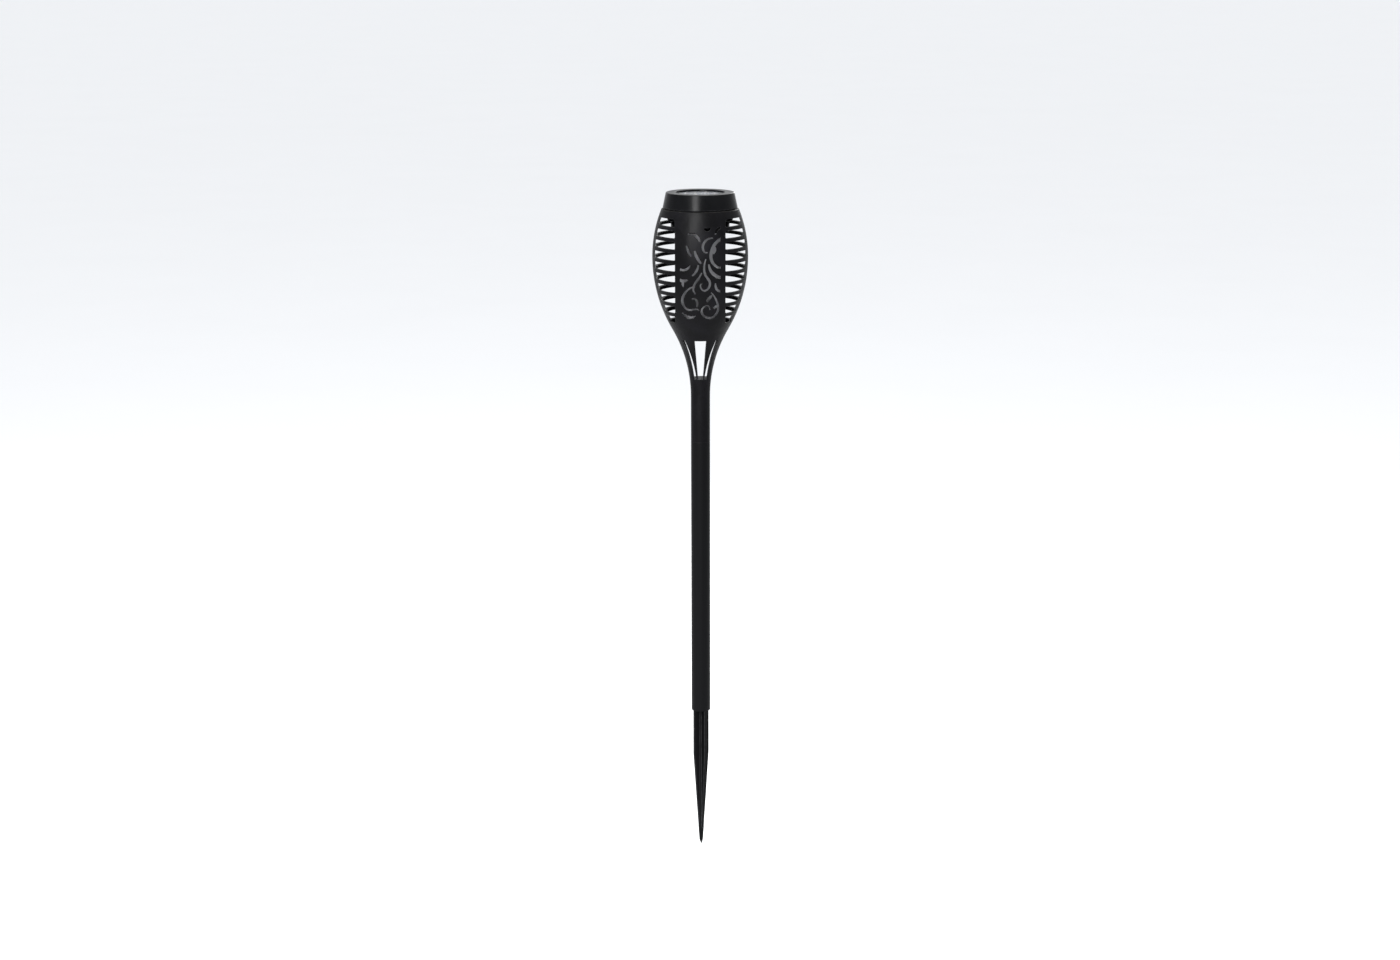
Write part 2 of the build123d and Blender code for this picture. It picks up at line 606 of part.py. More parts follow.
def make_solar_leads():
    """Two wires from the solar board through the recess floor to the control board."""
    upper_z, lower_z = SOLAR_LEAD_LEVELS
    leads = []
    for x in (-SOLAR_LEAD_X, SOLAR_LEAD_X):
        points = [(x, WIRE_Y, RECESS_FLOOR_Z), (x, WIRE_Y, upper_z)]
        points += [(x, SOLAR_LEAD_Y, lower_z), (x, SOLAR_LEAD_Y, MAIN_BOARD_TOP_Z)]
        leads.append(wire(points, SOLAR_LEAD_BEND))
    return leads


def make_switch_leads():
    """Two wires from the switch over the edge of the control board."""
    start_z = COLLAR_FLOOR_Z + BUTTON_TRAVEL + SWITCH_SIZE[2]
    outer_y, inner_y = SWITCH_LEAD_YS
    leads = []
    for x in (-SWITCH_LEAD_X, SWITCH_LEAD_X):
        points = [(x, outer_y, start_z), (x, outer_y, SWITCH_LEAD_TOP_Z)]
        points += [(x, inner_y, SWITCH_LEAD_TOP_Z), (x, inner_y, MAIN_BOARD_TOP_Z)]
        leads.append(wire(points, SWITCH_LEAD_BEND))
    return leads


def make_cap_screws():
    """Three pan-head screws through the collar's floor into the bosses."""
    screws = []
    for x, y in boss_places():
        head = disc(SCREW_HEAD_R, COLLAR_BOTTOM_Z - SCREW_HEAD_H, SCREW_HEAD_H)
        head = fillet(head.edges().group_by(Axis.Z)[0], SCREW_HEAD_EDGE)
        slot = Rot(0, 0, 45) * block(SCREW_CROSS, 0, 0, COLLAR_BOTTOM_Z - SCREW_HEAD_H)
        head -= slot + Rot(0, 0, 90) * slot
        shank = disc(SCREW_R - SCREW_FIT, COLLAR_BOTTOM_Z, SCREW_LENGTH)
        screws.append(Pos(x, y, 0) * (head + shank))
    return screws


def write(name, shape):
    """Writes one node, as one solid or as a group of separate solids."""
    solids = [s for item in (shape if isinstance(shape, list) else [shape]) for s in item.solids()]
    export_step(Compound(children=solids) if len(solids) > 1 else solids[0], f"parts/{name}.step")


os.makedirs("parts", exist_ok=True)
shade_half = make_shade_half()
solar_cells = make_solar_cells()
write("ground_spike", make_spike())
write("pole_tube", make_pole())
write("shade_front_half", shade_half)
write("shade_back_half", Rot(0, 0, 180) * shade_half)
write("neck_spigot", make_neck_spigot())
write("seal_ring", make_seal_ring())
write("cap_housing", make_cap_housing())
write("cap_base", make_cap_base())
write("cap_screws", make_cap_screws())
write("solar_board", make_solar_board())
write("solar_cells", solar_cells)
write("solar_resin", make_solar_resin(solar_cells))
write("solar_leads", make_solar_leads())
write("main_board", make_main_board())
write("board_parts", make_board_parts())
write("battery_cell", make_battery())
write("battery_cradle", make_battery_cradle())
write("battery_tabs", make_battery_tabs())
write("switch_body", make_switch_body())
write("switch_feet", make_switch_seat())
write("switch_button", make_switch_button())
write("switch_leads", make_switch_leads())
write("led_post", make_led_post())
write("led_wrap", make_led_wrap())
write("leds", make_leds())
write("diffuser_tube", make_diffuser_tube())
write("diffuser_end", make_diffuser_end())
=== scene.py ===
from math import cos, pi, radians, sin, sqrt

import bmesh
import bpy
from mathutils import Matrix, Vector


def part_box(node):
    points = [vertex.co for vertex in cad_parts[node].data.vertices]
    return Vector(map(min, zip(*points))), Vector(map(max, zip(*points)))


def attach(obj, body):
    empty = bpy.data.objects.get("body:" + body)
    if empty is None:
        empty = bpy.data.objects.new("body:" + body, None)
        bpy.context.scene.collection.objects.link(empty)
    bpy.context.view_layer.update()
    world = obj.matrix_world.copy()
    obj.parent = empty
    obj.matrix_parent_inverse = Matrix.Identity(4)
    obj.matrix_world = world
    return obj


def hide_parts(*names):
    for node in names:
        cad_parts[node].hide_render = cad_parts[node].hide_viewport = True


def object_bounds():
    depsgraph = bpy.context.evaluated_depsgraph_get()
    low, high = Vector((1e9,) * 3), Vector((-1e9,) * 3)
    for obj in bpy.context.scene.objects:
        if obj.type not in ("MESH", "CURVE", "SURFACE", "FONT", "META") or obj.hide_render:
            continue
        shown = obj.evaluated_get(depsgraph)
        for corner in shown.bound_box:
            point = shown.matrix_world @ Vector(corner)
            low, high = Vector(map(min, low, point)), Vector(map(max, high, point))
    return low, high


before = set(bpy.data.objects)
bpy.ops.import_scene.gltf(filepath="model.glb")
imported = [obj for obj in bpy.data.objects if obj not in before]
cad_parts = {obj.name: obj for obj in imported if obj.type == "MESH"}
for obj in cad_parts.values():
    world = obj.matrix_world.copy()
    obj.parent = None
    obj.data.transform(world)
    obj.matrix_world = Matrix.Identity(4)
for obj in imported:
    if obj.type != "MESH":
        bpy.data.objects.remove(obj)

cad_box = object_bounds()


# Ground spike: a four-finned stake of black polypropylene, injection moulded in one piece
# with the round plug that the pole pushes onto. The mould rounds its edges a little, and
# flow lines run down its length.
SPIKE_EDGE = 0.00022
DOUBLE_GAP = 0.000002
SHORTEST_EDGE = 0.00003
FLAT_ANGLE = radians(0.4)
SHARP_ANGLE = radians(38)
EDGE_SEGMENTS = 2
DUST_COLOUR = (0.16, 0.15, 0.135, 1.0)


def softened(node, name, width):
    """Copy of a CAD node, with its doubles merged and its sharp edges rounded.
    The rounded faces hold 1 in the face attribute named edge."""
    cut = bmesh.new()
    cut.from_mesh(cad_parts[node].data)
    bmesh.ops.remove_doubles(cut, verts=cut.verts, dist=DOUBLE_GAP)
    bmesh.ops.dissolve_limit(cut, angle_limit=FLAT_ANGLE, verts=cut.verts, edges=cut.edges)
    bmesh.ops.remove_doubles(cut, verts=cut.verts, dist=SHORTEST_EDGE)
    worn = cut.faces.layers.float.new("edge")
    edges = [e for e in cut.edges if len(e.link_faces) == 2 and e.calc_face_angle(0) > SHARP_ANGLE]
    rounded = bmesh.ops.bevel(
        cut, geom=edges, offset=width, offset_type="OFFSET", segments=EDGE_SEGMENTS,
        profile=0.5, affect="EDGES", clamp_overlap=False, loop_slide=True)
    for face in rounded["faces"]:
        face[worn] = 1.0
    bmesh.ops.recalc_face_normals(cut, faces=cut.faces)
    return finished(cut, name)


def finished(built, name):
    """Smooth-shaded object from a bmesh, with normals weighted by the area of the faces."""
    mesh = bpy.data.meshes.new(name)
    built.to_mesh(mesh)
    built.free()
    old_normals = mesh.attributes.get("custom_normal")
    if old_normals:
        mesh.attributes.remove(old_normals)
    mesh.materials.clear()
    mesh.polygons.foreach_set("use_smooth", [True] * len(mesh.polygons))
    piece = bpy.data.objects.new(name, mesh)
    bpy.context.scene.collection.objects.link(piece)
    weighted = piece.modifiers.new("weighted normals", "WEIGHTED_NORMAL")
    weighted.mode = "FACE_AREA"
    weighted.weight = 50
    weighted.keep_sharp = True
    return piece


def place(piece, material, slot, body, *nodes):
    """Gives a piece its material, and lets it ride for its CAD nodes. The slot argument is not used."""
    piece.data.materials.clear()
    piece.data.materials.append(material)
    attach(piece, body)
    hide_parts(*nodes)


def add_node(tree, kind, inputs=None, **settings):
    """A node with its settings. Each named input is linked to a socket or given a value."""
    made = tree.nodes.new(kind)
    for key, value in settings.items():
        setattr(made, key, value)
    for key, value in (inputs or {}).items():
        if isinstance(value, bpy.types.NodeSocket):
            tree.links.new(value, made.inputs[key])
        else:
            made.inputs[key].default_value = value
    return made


def new_group(name, kind, inputs, outputs):
    """Node group with named sockets, and its input and output nodes."""
    tree = bpy.data.node_groups.new(name, kind)
    for label, socket, value in inputs:
        made = tree.interface.new_socket(name=label, in_out="INPUT", socket_type=socket)
        if value is not None:
            made.default_value = value
    for label, socket in outputs:
        tree.interface.new_socket(name=label, in_out="OUTPUT", socket_type=socket)
    return tree, tree.nodes.new("NodeGroupInput"), tree.nodes.new("NodeGroupOutput")


def moulded_face_group():
    """Surface of moulded plastic: fine grain, slow waves from the flow, and cloudy patches."""
    tree, given, result = new_group(
        "moulded face", "ShaderNodeTree",
        [("Vector", "NodeSocketVector", None), ("Grain Scale", "NodeSocketFloat", 1800.0),
         ("Wave Scale", "NodeSocketFloat", 160.0), ("Wave Share", "NodeSocketFloat", 0.6)],
        [("Height", "NodeSocketFloat"), ("Patches", "NodeSocketFloat"), ("Grain", "NodeSocketFloat")])
    vector = given.outputs["Vector"]
    grain = add_node(tree, "ShaderNodeTexNoise", {
        "Vector": vector, "Scale": given.outputs["Grain Scale"], "Detail": 3.0, "Roughness": 0.6})
    wave = add_node(tree, "ShaderNodeTexNoise", {
        "Vector": vector, "Scale": given.outputs["Wave Scale"], "Detail": 2.0, "Roughness": 0.4})
    cloud = add_node(tree, "ShaderNodeTexNoise", {
        "Vector": vector, "Scale": 45.0, "Detail": 4.0, "Roughness": 0.65, "Distortion": 0.6})
    height = add_node(tree, "ShaderNodeMix", {
        "Factor": given.outputs["Wave Share"], "A": grain.outputs["Fac"], "B": wave.outputs["Fac"]},
        data_type="FLOAT")
    patches = add_node(tree, "ShaderNodeMapRange", {
        "Value": cloud.outputs["Fac"], "From Min": 0.35, "From Max": 0.7}, interpolation_type="SMOOTHSTEP")
    tree.links.new(height.outputs["Result"], result.inputs["Height"])
    tree.links.new(patches.outputs["Result"], result.inputs["Patches"])
    tree.links.new(grain.outputs["Fac"], result.inputs["Grain"])
    return tree


def edge_wear_group():
    """Where a rounded edge is rubbed: the edge attribute broken up by noise."""
    tree, given, result = new_group(
        "edge wear", "ShaderNodeTree",
        [("Vector", "NodeSocketVector", None), ("Amount", "NodeSocketFloat", 0.6)],
        [("Mask", "NodeSocketFloat")])
    edge = add_node(tree, "ShaderNodeAttribute", attribute_name="edge")
    rub = add_node(tree, "ShaderNodeTexNoise", {
        "Vector": given.outputs["Vector"], "Scale": 420.0, "Detail": 5.0, "Roughness": 0.7})
    broken = add_node(tree, "ShaderNodeMapRange", {
        "Value": rub.outputs["Fac"], "From Min": 0.38, "From Max": 0.62, "To Min": 0.25})
    here = add_node(tree, "ShaderNodeMath", {
        0: edge.outputs["Fac"], 1: broken.outputs["Result"]}, operation="MULTIPLY")
    mask = add_node(tree, "ShaderNodeMath", {
        0: here.outputs["Value"], 1: given.outputs["Amount"]}, operation="MULTIPLY", use_clamp=True)
    tree.links.new(mask.outputs["Value"], result.inputs["Mask"])
    return tree


def settled_dust_group():
    """Thin dust on faces that look up, thicker in patches."""
    tree, given, result = new_group(
        "settled dust", "ShaderNodeTree",
        [("Vector", "NodeSocketVector", None), ("Amount", "NodeSocketFloat", 0.3)],
        [("Mask", "NodeSocketFloat")])
    facing = add_node(tree, "ShaderNodeNewGeometry")
    parts = add_node(tree, "ShaderNodeSeparateXYZ", {"Vector": facing.outputs["Normal"]})
    upward = add_node(tree, "ShaderNodeMapRange", {
        "Value": parts.outputs["Z"], "From Min": 0.25, "From Max": 0.95}, interpolation_type="SMOOTHSTEP")
    speck = add_node(tree, "ShaderNodeTexNoise", {
        "Vector": given.outputs["Vector"], "Scale": 900.0, "Detail": 6.0, "Roughness": 0.75})
    thin = add_node(tree, "ShaderNodeMapRange", {
        "Value": speck.outputs["Fac"], "From Min": 0.42, "From Max": 0.75})
    here = add_node(tree, "ShaderNodeMath", {
        0: upward.outputs["Result"], 1: thin.outputs["Result"]}, operation="MULTIPLY")
    mask = add_node(tree, "ShaderNodeMath", {
        0: here.outputs["Value"], 1: given.outputs["Amount"]}, operation="MULTIPLY", use_clamp=True)
    tree.links.new(mask.outputs["Value"], result.inputs["Mask"])
    return tree


MOULDED_FACE = moulded_face_group()
EDGE_WEAR = edge_wear_group()
SETTLED_DUST = settled_dust_group()


def new_material(name):
    """Empty node material with a Principled shader and Object coordinates."""
    material = bpy.data.materials.new(name)
    material.use_nodes = True
    tree = material.node_tree
    tree.nodes.clear()
    output = tree.nodes.new("ShaderNodeOutputMaterial")
    shader = tree.nodes.new("ShaderNodeBsdfPrincipled")
    tree.links.new(shader.outputs["BSDF"], output.inputs["Surface"])
    where = add_node(tree, "ShaderNodeTexCoord").outputs["Object"]
    return material, tree, shader, where


def use_group(tree, group, inputs):
    """Places a node group in a material."""
    placed = tree.nodes.new("ShaderNodeGroup")
    placed.node_tree = group
    for key, value in inputs.items():
        if isinstance(value, bpy.types.NodeSocket):
            tree.links.new(value, placed.inputs[key])
        else:
            placed.inputs[key].default_value = value
    return placed


def blend_colour(tree, factor, first, second):
    """Mix of two colours, each a value or a socket."""
    made = add_node(tree, "ShaderNodeMix", data_type="RGBA")
    for index, value in ((0, factor), (6, first), (7, second)):
        if isinstance(value, bpy.types.NodeSocket):
            tree.links.new(value, made.inputs[index])
        else:
            made.inputs[index].default_value = value
    return made.outputs[2]


def moulded_plastic(name, dark, light, rubbed, rough, gloss, grain=1800.0, wave=160.0,
                    wave_share=0.6, depth=0.00004, stretch=(1, 1, 1), wear=0.6, dust=0.3):
    """Moulded plastic: cloudy colour, grain and flow waves, rubbed edges and settled dust."""
    material, tree, shader, where = new_material(name)
    drawn = add_node(tree, "ShaderNodeMapping", {"Vector": where, "Scale": stretch}).outputs["Vector"]
    face = use_group(tree, MOULDED_FACE, {
        "Vector": drawn, "Grain Scale": grain, "Wave Scale": wave, "Wave Share": wave_share})
    edge = use_group(tree, EDGE_WEAR, {"Vector": where, "Amount": wear})
    dusty = use_group(tree, SETTLED_DUST, {"Vector": where, "Amount": dust})
    body = blend_colour(tree, face.outputs["Patches"], dark, light)
    worn = blend_colour(tree, edge.outputs["Mask"], body, rubbed)
    final = blend_colour(tree, dusty.outputs["Mask"], worn, DUST_COLOUR)
    tree.links.new(final, shader.inputs["Base Color"])
    low, high = rough
    base_rough = add_node(tree, "ShaderNodeMapRange", {
        "Value": face.outputs["Patches"], "To Min": low, "To Max": high})
    grainy = add_node(tree, "ShaderNodeMath", {
        0: face.outputs["Grain"], 1: 0.12, 2: base_rough.outputs["Result"]}, operation="MULTIPLY_ADD")
    dull = add_node(tree, "ShaderNodeMath", {
        0: dusty.outputs["Mask"], 1: 0.4, 2: grainy.outputs["Value"]},
        operation="MULTIPLY_ADD", use_clamp=True)
    tree.links.new(dull.outputs["Value"], shader.inputs["Roughness"])
    bump = add_node(tree, "ShaderNodeBump", {
        "Height": face.outputs["Height"], "Strength": 0.5, "Distance": depth})
    tree.links.new(bump.outputs["Normal"], shader.inputs["Normal"])
    shader.inputs["Specular IOR Level"].default_value = gloss
    return material


spike_plastic = moulded_plastic(
    "spike plastic", dark=(0.0015, 0.0016, 0.0019, 1), light=(0.003, 0.0031, 0.0036, 1),
    rubbed=(0.05, 0.05, 0.052, 1), rough=(0.36, 0.48), gloss=0.052, grain=1500.0, wave=240.0,
    stretch=(1, 1, 0.12), depth=0.00006, wear=0.5, dust=0.1)
spike = softened("ground_spike", "ground_spike_moulding", SPIKE_EDGE)
place(spike, spike_plastic, "spike_plastic", "stake", "ground_spike")


# Pole: a thin black tube, extruded and cut to length, with its rims rounded and a stop ring
# inside. Fine die lines run the whole length. It pushes onto the spike's plug.
POLE_EDGE = 0.00008
pole_plastic = moulded_plastic(
    "pole plastic", dark=(0.0016, 0.0017, 0.002, 1), light=(0.003, 0.0031, 0.0036, 1),
    rubbed=(0.04, 0.04, 0.042, 1), rough=(0.34, 0.44), gloss=0.055, grain=2600.0, wave=520.0,
    wave_share=0.5, stretch=(1, 1, 0.015), depth=0.00005, wear=0.15, dust=0.04)
pole = softened("pole_tube", "pole_tube_extrusion", POLE_EDGE)
place(pole, pole_plastic, "pole_plastic", "pole", "pole_tube")


# Neck spigot: a hollow moulded peg, glued into the socket that the two shade halves form.
# Its lower end is chamfered and slides into the top of the pole.
SPIGOT_EDGE = 0.00012
spigot = softened("neck_spigot", "neck_spigot_moulding", SPIGOT_EDGE)
place(spigot, pole_plastic, "pole_plastic", "lantern", "neck_spigot")


# Lantern shade: front and back halves moulded in black ABS and welded along the sides. Each
# is barrel, scroll panel, slots, floor, strutted neck and socket in one shot. The face is
# satin, with slow waves where the melt met round the cut-outs.
SHADE_EDGE = 0.00012
shade_plastic = moulded_plastic(
    "shade plastic", dark=(0.0014, 0.0014, 0.0017, 1), light=(0.0031, 0.003, 0.0039, 1),
    rubbed=(0.05, 0.05, 0.054, 1), rough=(0.32, 0.44), gloss=0.058, grain=1700.0, wave=230.0,
    wave_share=0.78, depth=0.00034, wear=0.45, dust=0.2)
for half in ("front", "back"):
    node = f"shade_{half}_half"
    shade = softened(node, f"{node}_moulding", SHADE_EDGE)
    place(shade, shade_plastic, "shade_plastic", "lantern", node)


# Seal ring: a soft black rubber ring in the groove of the cap's plug, moulded with a fine
# flash line round its middle. It closes the lantern's mouth against rain.
SEAL_EDGE = 0.00006
seal_rubber = moulded_plastic(
    "seal rubber", dark=(0.012, 0.012, 0.012, 1), light=(0.024, 0.024, 0.024, 1),
    rubbed=(0.06, 0.06, 0.06, 1), rough=(0.62, 0.78), gloss=0.35, grain=3200.0, wave=700.0,
    wave_share=0.4, depth=0.00003, wear=0.3, dust=0.5)
seal = softened("seal_ring", "seal_ring_moulding", SEAL_EDGE)
place(seal, seal_rubber, "seal_rubber", "cap_seal", "seal_ring")


# Cap base: flange, grooved plug and collar in one black moulding. The collar's floor holds
# the diffuser tube, the switch button and the three screws.
BASE_EDGE = 0.00015
cap_plastic = moulded_plastic(
    "cap plastic", dark=(0.0014, 0.0015, 0.0018, 1), light=(0.0026, 0.0027, 0.0031, 1),
    rubbed=(0.05, 0.05, 0.054, 1), rough=(0.2, 0.28), gloss=0.06, grain=2000.0, wave=140.0,
    wave_share=0.6, depth=0.00003, wear=0.4, dust=0.2)
base = softened("cap_base", "cap_base_moulding", BASE_EDGE)
place(base, cap_plastic, "cap_plastic", "solar_cap", "cap_base")


# Cap screws: three zinc-plated pan-head screws of 1.6 mm thread, turned up through the
# collar's floor into the bosses of the cap. Each has a cross recess and a real helix.
SCREW_RING = 0.01425
SCREW_ANGLES = (45, 135, 270)
SCREW_HEAD_R = 0.00139
SCREW_HEAD_H = 0.00108
SCREW_CORE_R = 0.00062
SCREW_CREST_R = 0.00077
SCREW_PITCH = 0.0006
SCREW_TURNS = 48
SCREW_END_STEPS = 8
PITCH_STEPS = 6
TIP_SHARE = 0.55
CREST_SHARPNESS = 3
HEAD_TWIST = 1.7
RECESS_R = 0.00085
RECESS_W = 0.00042
RECESS_H = 0.00055
HEAD_RINGS = 14
HEAD_DOME = 0.00045


def lathe(built, section, turns):
    """Turns a list of radii and levels, from bottom to top, into a closed skin."""
    rings = []
    for radius, level in section:
        spots = [2 * pi * step / turns for step in range(turns)]
        rings.append([built.verts.new((radius * cos(a), radius * sin(a), level)) for a in spots])
    for low, high in zip(rings, rings[1:]):
        for step in range(turns):
            after = (step + 1) % turns
            built.faces.new((low[step], low[after], high[after], high[step]))
    built.faces.new(list(reversed(rings[0])))
    built.faces.new(rings[-1])


def screw_mesh(low, high):
    """One screw, head down: domed head with a cross recess and a helical thread above."""
    built = bmesh.new()
    spots = [2 * pi * step / SCREW_TURNS for step in range(SCREW_TURNS)]
    neck = low + SCREW_HEAD_H
    rings = []
    for step in range(1, HEAD_RINGS + 1):
        share = step / HEAD_RINGS
        ring = []
        for angle in spots:
            x, y = SCREW_HEAD_R * share * cos(angle), SCREW_HEAD_R * share * sin(angle)
            level = low + HEAD_DOME * share**4
            if min(abs(x), abs(y)) < RECESS_W / 2 and max(abs(x), abs(y)) < RECESS_R:
                level = low + RECESS_H
            ring.append((x, y, level))
        rings.append(ring)
    for radius in (SCREW_HEAD_R, SCREW_CORE_R):
        rings.append([(radius * cos(angle), radius * sin(angle), neck) for angle in spots])
    steps = int((high - neck) / SCREW_PITCH * PITCH_STEPS)
    for level in range(1, steps + 1):
        z = neck + (high - neck) * level / steps
        fade = min(1.0, (steps - level) / SCREW_END_STEPS)
        ring = []
        for angle in spots:
            phase = (z / SCREW_PITCH - angle / (2 * pi)) % 1.0
            crest = max(0.0, 1 - abs(phase - 0.5) * CREST_SHARPNESS) * min(1.0, fade, level / 2)
            taper = TIP_SHARE + (1 - TIP_SHARE) * fade
            radius = SCREW_CORE_R * taper + (SCREW_CREST_R - SCREW_CORE_R) * crest
            ring.append((radius * cos(angle), radius * sin(angle), z))
        rings.append(ring)
    skins = [[built.verts.new(spot) for spot in ring] for ring in rings]
    for below, above in zip(skins, skins[1:]):
        for step in range(SCREW_TURNS):
            after = (step + 1) % SCREW_TURNS
            built.faces.new((below[step], below[after], above[after], above[step]))
    built.faces.new(list(reversed(skins[0])))
    built.faces.new(skins[-1])
    bmesh.ops.recalc_face_normals(built, faces=built.faces)
    return finished(built, "screw_pattern")


def run_tree(tree, values, name, start=None):
    """Plain mesh object made by a Geometry Nodes tree from its named inputs."""
    holder = bpy.data.objects.new(name, start or bpy.data.meshes.new(name))
    bpy.context.scene.collection.objects.link(holder)
    modifier = holder.modifiers.new("tree", "NODES")
    modifier.node_group = tree
    for item in tree.interface.items_tree:
        if item.in_out == "INPUT" and item.name in values:
            modifier[item.identifier] = values[item.name]
    bpy.context.view_layer.update()
    made = bpy.data.meshes.new_from_object(holder.evaluated_get(bpy.context.evaluated_depsgraph_get()))
    made.name = name
    holder.modifiers.remove(modifier)
    holder.data = made
    return holder


def copies_tree():
    """Copies of one pattern object at each point of the mesh that the tree is given."""
    tree, given, result = new_group(
        "copies on points", "GeometryNodeTree",
        [("Geometry", "NodeSocketGeometry", None), ("Pattern", "NodeSocketObject", None),
         ("Finish", "NodeSocketMaterial", None)], [("Geometry", "NodeSocketGeometry")])
    pattern = add_node(tree, "GeometryNodeObjectInfo", {"Object": given.outputs["Pattern"]})
    turn = add_node(tree, "GeometryNodeInputNamedAttribute", {"Name": "turn"}, data_type="FLOAT")
    spin = add_node(tree, "ShaderNodeCombineXYZ", {"Z": turn.outputs["Attribute"]})
    copies = add_node(tree, "GeometryNodeInstanceOnPoints", {
        "Points": given.outputs["Geometry"], "Instance": pattern.outputs["Geometry"],
        "Rotation": spin.outputs["Vector"]})
    real = add_node(tree, "GeometryNodeRealizeInstances", {"Geometry": copies.outputs["Instances"]})
    coated = add_node(tree, "GeometryNodeSetMaterial", {
        "Geometry": real.outputs["Geometry"], "Material": given.outputs["Finish"]})
    tree.links.new(coated.outputs["Geometry"], result.inputs["Geometry"])
    return tree


def points_mesh(name, places):
    """Loose points, each with the angle by which its copy is turned."""
    mesh = bpy.data.meshes.new(name)
    mesh.from_pydata([spot for spot, angle in places], [], [])
    turn = mesh.attributes.new("turn", "FLOAT", "POINT")
    turn.data.foreach_set("value", [angle for spot, angle in places])
    return mesh


def plated_metal(name, colour, tarnish, rough, scale=1400.0):
    """Plated metal: fine drawn scratches and tarnish in patches."""
    material, tree, shader, where = new_material(name)
    face = use_group(tree, MOULDED_FACE, {
        "Vector": where, "Grain Scale": scale, "Wave Scale": 380.0, "Wave Share": 0.35})
    tone = blend_colour(tree, face.outputs["Patches"], colour, tarnish)
    tree.links.new(tone, shader.inputs["Base Color"])
    uneven = add_node(tree, "ShaderNodeMapRange", {
        "Value": face.outputs["Grain"], "To Min": rough[0], "To Max": rough[1]})
    tree.links.new(uneven.outputs["Result"], shader.inputs["Roughness"])
    bump = add_node(tree, "ShaderNodeBump", {
        "Height": face.outputs["Height"], "Strength": 0.4, "Distance": 0.00002})
    tree.links.new(bump.outputs["Normal"], shader.inputs["Normal"])
    shader.inputs["Metallic"].default_value = 1.0
    return material


COPIES = copies_tree()
screw_steel = plated_metal("screw steel", (0.56, 0.57, 0.6, 1), (0.4, 0.41, 0.42, 1), (0.24, 0.42))
screw_low, screw_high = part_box("cap_screws")
pattern = screw_mesh(screw_low.z, screw_high.z)
spots = [(Vector((SCREW_RING * cos(radians(a)), SCREW_RING * sin(radians(a)), 0)), radians(a * HEAD_TWIST))
         for a in SCREW_ANGLES]
screws = run_tree(COPIES, {"Pattern": pattern, "Finish": screw_steel}, "cap_screws_turned",
                  points_mesh("screw places", spots))
bpy.data.objects.remove(pattern)
place(screws, screw_steel, "screw_steel", "solar_cap", "cap_screws")


# Switch: a small push switch on two feet, with two insulated leads to the board and a
# round rubbery button that stands out of the collar's floor.
SWITCH_EDGE = 0.0001
component_plastic = moulded_plastic(
    "component plastic", dark=(0.014, 0.014, 0.015, 1), light=(0.022, 0.022, 0.024, 1),
    rubbed=(0.08, 0.08, 0.08, 1), rough=(0.4, 0.52), gloss=0.45, grain=4200.0, wave=900.0,
    depth=0.00002, wear=0.5, dust=0.1)
button_plastic = moulded_plastic(
    "button plastic", dark=(0.42, 0.43, 0.44, 1), light=(0.5, 0.51, 0.52, 1),
    rubbed=(0.62, 0.62, 0.62, 1), rough=(0.38, 0.5), gloss=0.45, grain=3600.0, wave=800.0,
    depth=0.00002, wear=0.6, dust=0.1)
wire_insulation = moulded_plastic(
    "wire insulation", dark=(0.36, 0.02, 0.018, 1), light=(0.45, 0.03, 0.024, 1),
    rubbed=(0.6, 0.1, 0.08, 1), rough=(0.3, 0.42), gloss=0.5, grain=5000.0, wave=1200.0,
    depth=0.00002, wear=0.3, dust=0.1)
nickel_strip = plated_metal("nickel strip", (0.6, 0.57, 0.51, 1), (0.5, 0.46, 0.4, 1), (0.22, 0.38))
switch_parts = (("switch_body", "switch_body_case", component_plastic, "component_plastic", "solar_cap"),
                ("switch_feet", "switch_feet_pressed", nickel_strip, "nickel_strip", "solar_cap"),
                ("switch_button", "switch_button_moulding", button_plastic, "button_plastic", "switch_key"),
                ("switch_leads", "switch_leads_wire", wire_insulation, "wire_insulation", "solar_cap"))
for node, name, material, slot, body in switch_parts:
    place(softened(node, name, SWITCH_EDGE), material, slot, body, node)


# Light module: a square hollow post wrapped in a flexible board with twelve lamps, inside
# a frosted tube with a pressed-in end plug. Seen through the cut-outs it glows pale grey.
POST_EDGE = 0.0002
WRAP_EDGE = 0.00004
TUBE_EDGE = 0.00012
LAMP_LEVELS = (0.252, 0.268, 0.284)
LAMP_W = 0.0035
LAMP_H = 0.0028
LAMP_EDGE = 0.00012
LAMP_BODY_SHARE = 0.6
LENS_SHARE = 0.4
LENS_SINK = 0.00005
LENS_RINGS = 7
LENS_TURNS = 20


